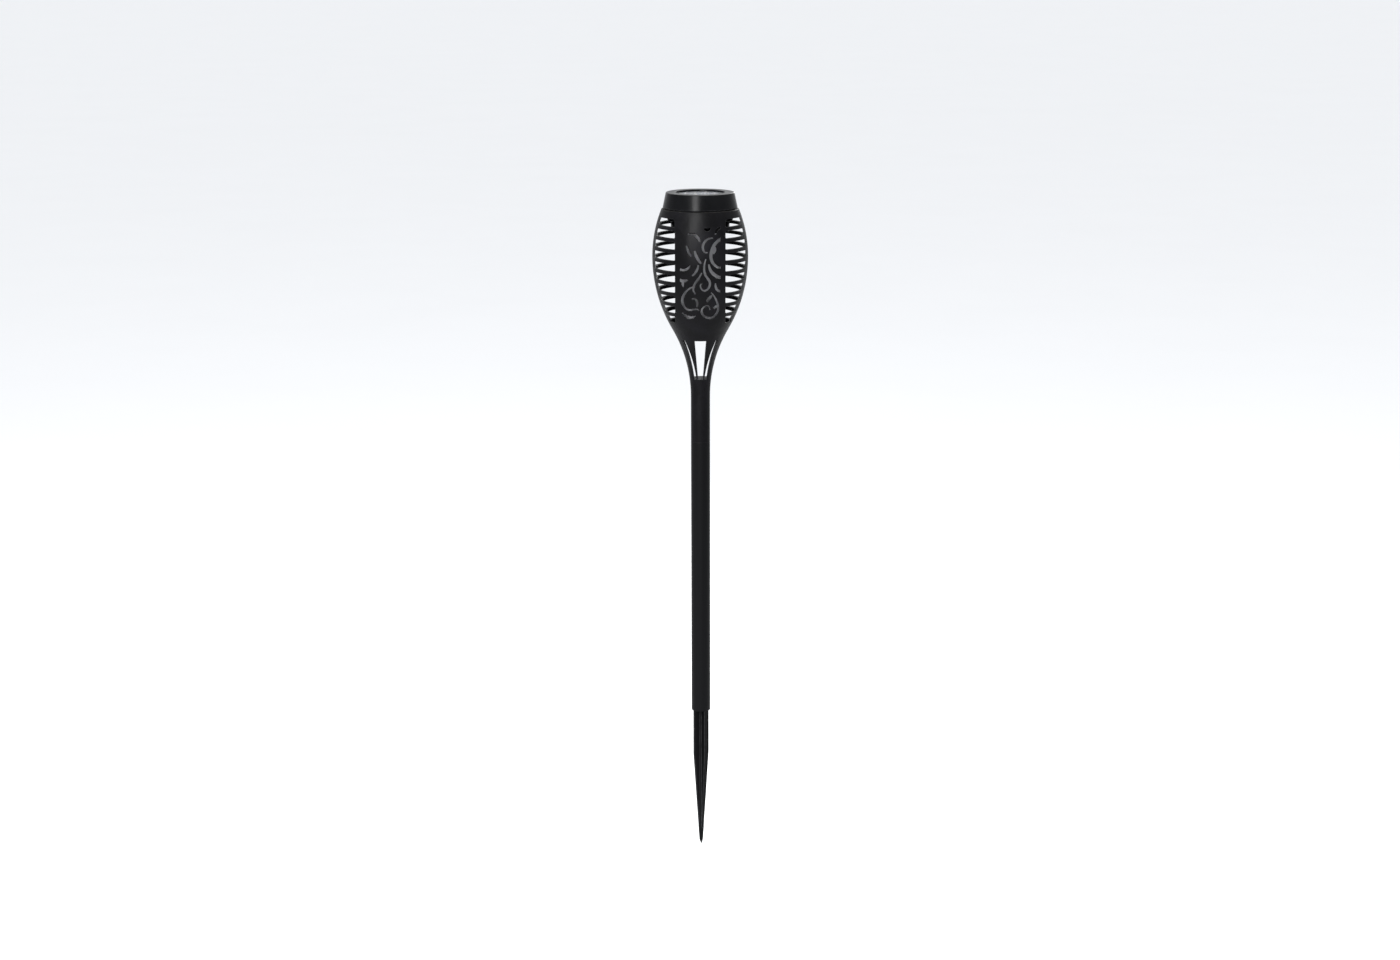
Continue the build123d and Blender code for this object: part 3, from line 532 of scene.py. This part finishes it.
def frosted(name, colour, rough, clear):
    """Frosted plastic: milky colour, sand-blasted grain and a little light through it."""
    material, tree, shader, where = new_material(name)
    face = use_group(tree, MOULDED_FACE, {
        "Vector": where, "Grain Scale": 2600.0, "Wave Scale": 300.0, "Wave Share": 0.25})
    edge = use_group(tree, EDGE_WEAR, {"Vector": where, "Amount": 0.5})
    milky = blend_colour(tree, face.outputs["Patches"], colour, [c * 0.88 for c in colour[:3]] + [1])
    bright = blend_colour(tree, edge.outputs["Mask"], milky, (0.9, 0.9, 0.9, 1))
    tree.links.new(bright, shader.inputs["Base Color"])
    uneven = add_node(tree, "ShaderNodeMapRange", {
        "Value": face.outputs["Grain"], "To Min": rough[0], "To Max": rough[1]})
    tree.links.new(uneven.outputs["Result"], shader.inputs["Roughness"])
    bump = add_node(tree, "ShaderNodeBump", {
        "Height": face.outputs["Height"], "Strength": 0.5, "Distance": 0.00003})
    tree.links.new(bump.outputs["Normal"], shader.inputs["Normal"])
    shader.inputs["Transmission Weight"].default_value = clear
    shader.inputs["IOR"].default_value = 1.45
    return material


def circuit_board(name, mask, tracks, scale, rough):
    """Solder mask over copper: squared tracks show as a lighter, raised pattern."""
    material, tree, shader, where = new_material(name)
    cells = add_node(tree, "ShaderNodeTexBrick", {
        "Vector": where, "Color1": (0, 0, 0, 1), "Color2": (0, 0, 0, 1), "Mortar": (1, 1, 1, 1),
        "Scale": scale, "Mortar Size": 0.05, "Mortar Smooth": 0.2, "Brick Width": 0.8, "Row Height": 0.35})
    blobs = add_node(tree, "ShaderNodeTexVoronoi", {
        "Vector": where, "Scale": scale * 0.6}, distance="CHEBYCHEV")
    pads = add_node(tree, "ShaderNodeMath", {0: blobs.outputs["Distance"], 1: 0.16}, operation="LESS_THAN")
    copper = add_node(tree, "ShaderNodeMath", {
        0: cells.outputs["Color"], 1: pads.outputs["Value"]}, operation="MAXIMUM")
    face = use_group(tree, MOULDED_FACE, {
        "Vector": where, "Grain Scale": 3000.0, "Wave Scale": 500.0, "Wave Share": 0.3})
    cloudy = blend_colour(tree, face.outputs["Patches"], mask, [c * 0.8 for c in mask[:3]] + [1])
    tone = blend_colour(tree, copper.outputs["Value"], cloudy, tracks)
    tree.links.new(tone, shader.inputs["Base Color"])
    uneven = add_node(tree, "ShaderNodeMapRange", {
        "Value": face.outputs["Grain"], "To Min": rough[0], "To Max": rough[1]})
    tree.links.new(uneven.outputs["Result"], shader.inputs["Roughness"])
    bump = add_node(tree, "ShaderNodeBump", {
        "Height": copper.outputs["Value"], "Strength": 0.4, "Distance": 0.00003})
    tree.links.new(bump.outputs["Normal"], shader.inputs["Normal"])
    return material


def lamp_mesh(low, high):
    """One side-looking lamp: a chamfered white body with a domed lens on its outer face."""
    built = bmesh.new()
    bmesh.ops.create_cube(built, size=1.0)
    size = high - low
    body_depth = size.y * LAMP_BODY_SHARE
    middle = Vector(((low.x + high.x) / 2, high.y - body_depth / 2, (low.z + high.z) / 2))
    bmesh.ops.scale(built, vec=(size.x, body_depth, size.z), verts=built.verts)
    bmesh.ops.translate(built, vec=middle, verts=built.verts)
    worn = built.faces.layers.float.new("edge")
    rounded = bmesh.ops.bevel(
        built, geom=list(built.edges), offset=LAMP_EDGE, offset_type="OFFSET", segments=2, profile=0.5,
        affect="EDGES")
    for face in rounded["faces"]:
        face[worn] = 1.0
    radius = size.z * LENS_SHARE
    dome = size.y * (1 - LAMP_BODY_SHARE) + LENS_SINK
    section = []
    for step in range(LENS_RINGS):
        angle = pi / 2 * step / LENS_RINGS
        section.append((radius * cos(angle), dome * sin(angle)))
    before = set(built.verts)
    lathe(built, section, LENS_TURNS)
    lens = [v for v in built.verts if v not in before]
    bmesh.ops.rotate(built, cent=(0, 0, 0), matrix=Matrix.Rotation(pi / 2, 3, "X"), verts=lens)
    foot = Vector((middle.x, high.y - body_depth + LENS_SINK, middle.z))
    bmesh.ops.translate(built, vec=foot, verts=lens)
    bmesh.ops.recalc_face_normals(built, faces=built.faces)
    return finished(built, "lamp_pattern")


inner_plastic = moulded_plastic(
    "inner plastic", dark=(0.5, 0.49, 0.46, 1), light=(0.58, 0.57, 0.54, 1),
    rubbed=(0.7, 0.7, 0.68, 1), rough=(0.42, 0.55), gloss=0.45, grain=3000.0, wave=500.0,
    depth=0.00003, wear=0.5, dust=0.1)
flex_board = circuit_board("flex board", (0.62, 0.34, 0.06, 1), (0.72, 0.46, 0.14, 1), 320.0, (0.3, 0.45))
frosted_plastic = frosted("frosted plastic", (0.4, 0.4, 0.42, 1), (0.42, 0.6), 0.4)
lamp_plastic = frosted("lamp plastic", (0.82, 0.76, 0.5, 1), (0.2, 0.34), 0.2)
module_parts = (("led_post", "led_post_moulding", POST_EDGE, inner_plastic, "inner_plastic"),
                ("led_wrap", "led_wrap_board", WRAP_EDGE, flex_board, "flex_board"),
                ("diffuser_tube", "diffuser_tube_frosted", TUBE_EDGE, frosted_plastic, "frosted_plastic"),
                ("diffuser_end", "diffuser_end_frosted", TUBE_EDGE, frosted_plastic, "frosted_plastic"))
for node, name, width, material, slot in module_parts:
    place(softened(node, name, width), material, slot, "solar_cap", node)

lens_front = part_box("leds")[0].y
wrap_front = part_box("led_wrap")[0].y
pattern = lamp_mesh(Vector((-LAMP_W / 2, lens_front, -LAMP_H / 2)),
                    Vector((LAMP_W / 2, wrap_front, LAMP_H / 2)))
spots = [(Vector((0, 0, level)), face * pi / 2) for level in LAMP_LEVELS for face in range(4)]
lamps = run_tree(COPIES, {"Pattern": pattern, "Finish": lamp_plastic}, "leds_lamps",
                 points_mesh("lamp places", spots))
bpy.data.objects.remove(pattern)
place(lamps, lamp_plastic, "lamp_plastic", "solar_cap", "leds")


# Main board: a round green board on the collar's floor, with its chip, coil, capacitor and
# two resistors soldered on the free edges.
BOARD_EDGE = 0.00008
circuit = circuit_board("circuit board", (0.012, 0.11, 0.045, 1), (0.05, 0.24, 0.11, 1), 260.0, (0.26, 0.4))
board_pieces = (("main_board", "main_board_panel", circuit, "circuit_board"),
                ("board_parts", "board_parts_soldered", component_plastic, "component_plastic"))
for node, name, material, slot in board_pieces:
    place(softened(node, name, BOARD_EDGE), material, slot, "solar_cap", node)


# Battery: one rechargeable cell in a shrunk sleeve, lying in a plastic saddle, with nickel
# strips spot welded to its two ends and soldered to the board.
BATTERY_EDGE = 0.0001
SLEEVE_WRINKLE = 0.00005


def shrunk_sleeve(name, colour, shade):
    """Thin printed sleeve shrunk on a cell: glossy, with fine wrinkles round its ends."""
    material, tree, shader, where = new_material(name)
    face = use_group(tree, MOULDED_FACE, {
        "Vector": where, "Grain Scale": 2200.0, "Wave Scale": 420.0, "Wave Share": 0.6})
    edge = use_group(tree, EDGE_WEAR, {"Vector": where, "Amount": 0.8})
    bands = add_node(tree, "ShaderNodeTexWave", {
        "Vector": where, "Scale": 60.0, "Distortion": 3.0, "Detail": 2.0}, bands_direction="X")
    cloudy = blend_colour(tree, face.outputs["Patches"], colour, shade)
    bright = blend_colour(tree, edge.outputs["Mask"], cloudy, (0.5, 0.5, 0.48, 1))
    tree.links.new(bright, shader.inputs["Base Color"])
    uneven = add_node(tree, "ShaderNodeMapRange", {
        "Value": bands.outputs["Fac"], "To Min": 0.2, "To Max": 0.34})
    tree.links.new(uneven.outputs["Result"], shader.inputs["Roughness"])
    bump = add_node(tree, "ShaderNodeBump", {
        "Height": bands.outputs["Fac"], "Strength": 0.3, "Distance": SLEEVE_WRINKLE})
    tree.links.new(bump.outputs["Normal"], shader.inputs["Normal"])
    return material


battery_sleeve = shrunk_sleeve("battery sleeve", (0.02, 0.2, 0.09, 1), (0.015, 0.15, 0.07, 1))
battery_pieces = (("battery_cell", "battery_cell_sleeved", battery_sleeve, "battery_sleeve"),
                  ("battery_cradle", "battery_cradle_saddle", inner_plastic, "inner_plastic"),
                  ("battery_tabs", "battery_tabs_strip", nickel_strip, "nickel_strip"))
for node, name, material, slot in battery_pieces:
    place(softened(node, name, BATTERY_EDGE), material, slot, "solar_cap", node)


# Cap housing: the tapered black cover with a flat rim, a round recess for the solar panel
# and three long screw bosses inside. It is polished a little more than the shade.
HOUSING_EDGE = 0.00022
housing = softened("cap_housing", "cap_housing_moulding", HOUSING_EDGE)
place(housing, cap_plastic, "cap_plastic", "solar_cap", "cap_housing")


# Solar panel: a round board with four silicon strips, silver contact fingers printed on
# them and clear resin poured over the lot. Two leads run down to the main board.
CELL_PITCH = 0.0057
CELL_FIELD_R = 0.0126
CELL_WIDTH = 0.0052
FINGER_PITCH = 0.0011
FINGER_WIDTH = 0.00012
FINGER_SHARE = 0.94
BUSBAR_WIDTH = 0.0005
PRINT_T = 0.00003
RESIN_SINK = 0.00006
RESIN_RIM_W = 0.0012
RESIN_FOOT = 0.00005
RESIN_STEPS = 8
RESIN_TURNS = 96


def contact_tree():
    """Bars across the points of a grid, each as long as the round field leaves it."""
    tree, given, result = new_group(
        "printed contacts", "GeometryNodeTree",
        [("Geometry", "NodeSocketGeometry", None), ("Bar Height", "NodeSocketFloat", 0.00003),
         ("Finish", "NodeSocketMaterial", None)], [("Geometry", "NodeSocketGeometry")])
    size = add_node(tree, "GeometryNodeInputNamedAttribute", {"Name": "size"}, data_type="FLOAT_VECTOR")
    unit = add_node(tree, "GeometryNodeMeshCube", {"Size": (1.0, 1.0, 1.0)})
    parts = add_node(tree, "ShaderNodeSeparateXYZ", {"Vector": size.outputs["Attribute"]})
    scale = add_node(tree, "ShaderNodeCombineXYZ", {
        "X": parts.outputs["X"], "Y": parts.outputs["Y"], "Z": given.outputs["Bar Height"]})
    bars = add_node(tree, "GeometryNodeInstanceOnPoints", {
        "Points": given.outputs["Geometry"], "Instance": unit.outputs["Mesh"],
        "Scale": scale.outputs["Vector"]})
    real = add_node(tree, "GeometryNodeRealizeInstances", {"Geometry": bars.outputs["Instances"]})
    coated = add_node(tree, "GeometryNodeSetMaterial", {
        "Geometry": real.outputs["Geometry"], "Material": given.outputs["Finish"]})
    tree.links.new(coated.outputs["Geometry"], result.inputs["Geometry"])
    return tree


def contact_places(level):
    """Middles and sizes of the fingers and busbars of the four strips."""
    bars = []
    for strip in (-1.5, -0.5, 0.5, 1.5):
        x = strip * CELL_PITCH
        reach = sqrt(CELL_FIELD_R**2 - (abs(x) + CELL_WIDTH / 2) ** 2)
        bars.append(((x, 0, level), (BUSBAR_WIDTH, 2 * reach, 1)))
        count = int(reach / FINGER_PITCH)
        for row in range(-count, count + 1):
            bars.append(((x, row * FINGER_PITCH, level), (CELL_WIDTH * FINGER_SHARE, FINGER_WIDTH, 1)))
    return bars


def contacts_mesh(bars):
    """Loose points, each with the size of its bar."""
    mesh = bpy.data.meshes.new("contact places")
    mesh.from_pydata([spot for spot, size in bars], [], [])
    sizes = mesh.attributes.new("size", "FLOAT_VECTOR", "POINT")
    sizes.data.foreach_set("vector", [value for spot, size in bars for value in size])
    return mesh


def silicon(name):
    """Dark blue silicon with fine crystal patches under a smooth coat."""
    material, tree, shader, where = new_material(name)
    crystals = add_node(tree, "ShaderNodeTexVoronoi", {"Vector": where, "Scale": 700.0})
    face = use_group(tree, MOULDED_FACE, {
        "Vector": where, "Grain Scale": 2400.0, "Wave Scale": 300.0, "Wave Share": 0.5})
    tone = blend_colour(tree, crystals.outputs["Distance"], (0.008, 0.012, 0.035, 1), (0.016, 0.024, 0.06, 1))
    cloudy = blend_colour(tree, face.outputs["Patches"], tone, (0.006, 0.009, 0.024, 1))
    tree.links.new(cloudy, shader.inputs["Base Color"])
    uneven = add_node(tree, "ShaderNodeMapRange", {
        "Value": face.outputs["Grain"], "To Min": 0.18, "To Max": 0.32})
    tree.links.new(uneven.outputs["Result"], shader.inputs["Roughness"])
    return material


def poured_resin(name):
    """Clear cast resin with a slow swell of its surface and a few fine scratches."""
    material, tree, shader, where = new_material(name)
    swell = add_node(tree, "ShaderNodeTexNoise", {"Vector": where, "Scale": 110.0, "Detail": 2.0})
    scratch = add_node(tree, "ShaderNodeTexNoise", {
        "Vector": add_node(tree, "ShaderNodeMapping", {
            "Vector": where, "Rotation": (0, 0, 0.6), "Scale": (1, 14, 1)}).outputs["Vector"],
        "Scale": 240.0, "Detail": 6.0, "Roughness": 0.8})
    fine = add_node(tree, "ShaderNodeMapRange", {
        "Value": scratch.outputs["Fac"], "From Min": 0.5, "From Max": 0.8, "To Min": 0.22, "To Max": 0.4})
    tree.links.new(fine.outputs["Result"], shader.inputs["Roughness"])
    bump = add_node(tree, "ShaderNodeBump", {
        "Height": swell.outputs["Fac"], "Strength": 0.35, "Distance": 0.00006})
    tree.links.new(bump.outputs["Normal"], shader.inputs["Normal"])
    shader.inputs["Base Color"].default_value = (0.86, 0.88, 0.9, 1)
    shader.inputs["Transmission Weight"].default_value = 1.0
    shader.inputs["IOR"].default_value = 1.3
    return material


solar_cell = silicon("solar cell")
clear_resin = poured_resin("clear resin")
panel_pieces = (("solar_board", "solar_board_panel", circuit, "circuit_board"),
                ("solar_cells", "solar_cells_strips", solar_cell, "solar_cell"),
                ("solar_leads", "solar_leads_wire", wire_insulation, "wire_insulation"))
for node, name, material, slot in panel_pieces:
    place(softened(node, name, BOARD_EDGE / 2), material, slot, "solar_cap", node)

cells_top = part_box("solar_cells")[1].z
contacts = run_tree(
    contact_tree(), {"Bar Height": PRINT_T, "Finish": nickel_strip}, "solar_cells_contacts",
    contacts_mesh(contact_places(cells_top)))
contacts.data.materials.clear()
contacts.data.materials.append(nickel_strip)
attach(contacts, "solar_cap")

resin_low, resin_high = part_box("solar_resin")
radius = resin_high.x
puck = bmesh.new()
section = [(radius - RESIN_FOOT, resin_low.z), (radius, resin_low.z + RESIN_FOOT), (radius, resin_high.z)]
for step in range(1, RESIN_STEPS + 1):
    share = step / RESIN_STEPS
    section.append((radius - RESIN_RIM_W * share, resin_high.z - RESIN_SINK * share * (2 - share)))
section.append((radius * 0.5, resin_high.z - RESIN_SINK))
section.append((radius * 0.1, resin_high.z - RESIN_SINK))
lathe(puck, section, RESIN_TURNS)
resin = finished(puck, "solar_resin_poured")
place(resin, clear_resin, "clear_resin", "solar_cap", "solar_resin")


# Stage: a wide pale floor at the spike's point, a tall soft key light to the left of the
# camera, a weaker one behind, and a wide overhead light, under an even pale sky.
FLOOR_SIZE = 120.0
FLOOR_GAP = 0.0001
LIGHT_AIM = (0, 0, 0.34)
STRIP_W = 0.2
STRIP_H = 0.75
KEY_POWER = 17.0
BACK_POWER = 3.5
OVERHEAD_SIZE = 1.2
OVERHEAD_POWER = 4.0
SKY_COLOUR = (0.95, 0.97, 1.0, 1)
CAMERA_PLACE = (-0.00035, -1.4686, 0.4647)
CAMERA_PITCH = 12.38
CAMERA_ROLL = -0.1
CAMERA_LENS = 64.96


def pale_floor():
    """Matt pale floor with faint mottling."""
    material, tree, shader, where = new_material("pale floor")
    mottle = add_node(tree, "ShaderNodeTexNoise", {"Vector": where, "Scale": 6.0, "Detail": 5.0})
    tone = blend_colour(tree, mottle.outputs["Fac"], (0.9, 0.9, 0.9, 1), (0.92, 0.92, 0.92, 1))
    tree.links.new(tone, shader.inputs["Base Color"])
    shader.inputs["Roughness"].default_value = 0.8
    shader.inputs["Specular IOR Level"].default_value = 0.2
    return material


def soft_light(name, place_at, aim, width, height, power):
    """Rectangular soft light that shines from a place towards a point."""
    data = bpy.data.lights.new(name, "AREA")
    data.shape = "RECTANGLE"
    data.size = width
    data.size_y = height
    data.energy = power
    lamp = bpy.data.objects.new(name, data)
    bpy.context.scene.collection.objects.link(lamp)
    lamp.location = place_at
    lamp.rotation_euler = (Vector(aim) - Vector(place_at)).to_track_quat("-Z", "Y").to_euler()
    lamp.visible_camera = False
    return lamp


ground = cad_box[0][2] - FLOOR_GAP
floor = bpy.data.objects.new("floor", bpy.data.meshes.new("floor"))
half = FLOOR_SIZE / 2
corners = [(-half, -half, ground), (half, -half, ground), (half, half, ground), (-half, half, ground)]
floor.data.from_pydata(corners, [], [(0, 1, 2, 3)])
floor.data.materials.append(pale_floor())
bpy.context.scene.collection.objects.link(floor)

soft_light("key light", (-0.21, -0.75, 0.66), LIGHT_AIM, STRIP_W, STRIP_H, KEY_POWER)
soft_light("back light", (0.21, 0.75, 0.66), LIGHT_AIM, STRIP_W, STRIP_H, BACK_POWER)
soft_light("overhead light", (0.3, 0.1, 1.8), (0, 0, 0.1), OVERHEAD_SIZE, OVERHEAD_SIZE, OVERHEAD_POWER)

sky = bpy.data.worlds.new("sky")
sky.use_nodes = True
sky.node_tree.nodes["Background"].inputs["Color"].default_value = SKY_COLOUR
sky.node_tree.nodes["Background"].inputs["Strength"].default_value = 1.0
bpy.context.scene.world = sky
bpy.context.scene.view_settings.view_transform = "Standard"

lens = bpy.data.cameras.new("camera")
lens.lens = CAMERA_LENS
lens.sensor_width = 36.0
lens.clip_end = 200.0
camera = bpy.data.objects.new("camera", lens)
aimed = Matrix.Rotation(radians(90 - CAMERA_PITCH), 4, "X") @ Matrix.Rotation(radians(CAMERA_ROLL), 4, "Z")
camera.matrix_world = Matrix.Translation(CAMERA_PLACE) @ aimed
bpy.context.scene.collection.objects.link(camera)
bpy.context.scene.camera = camera
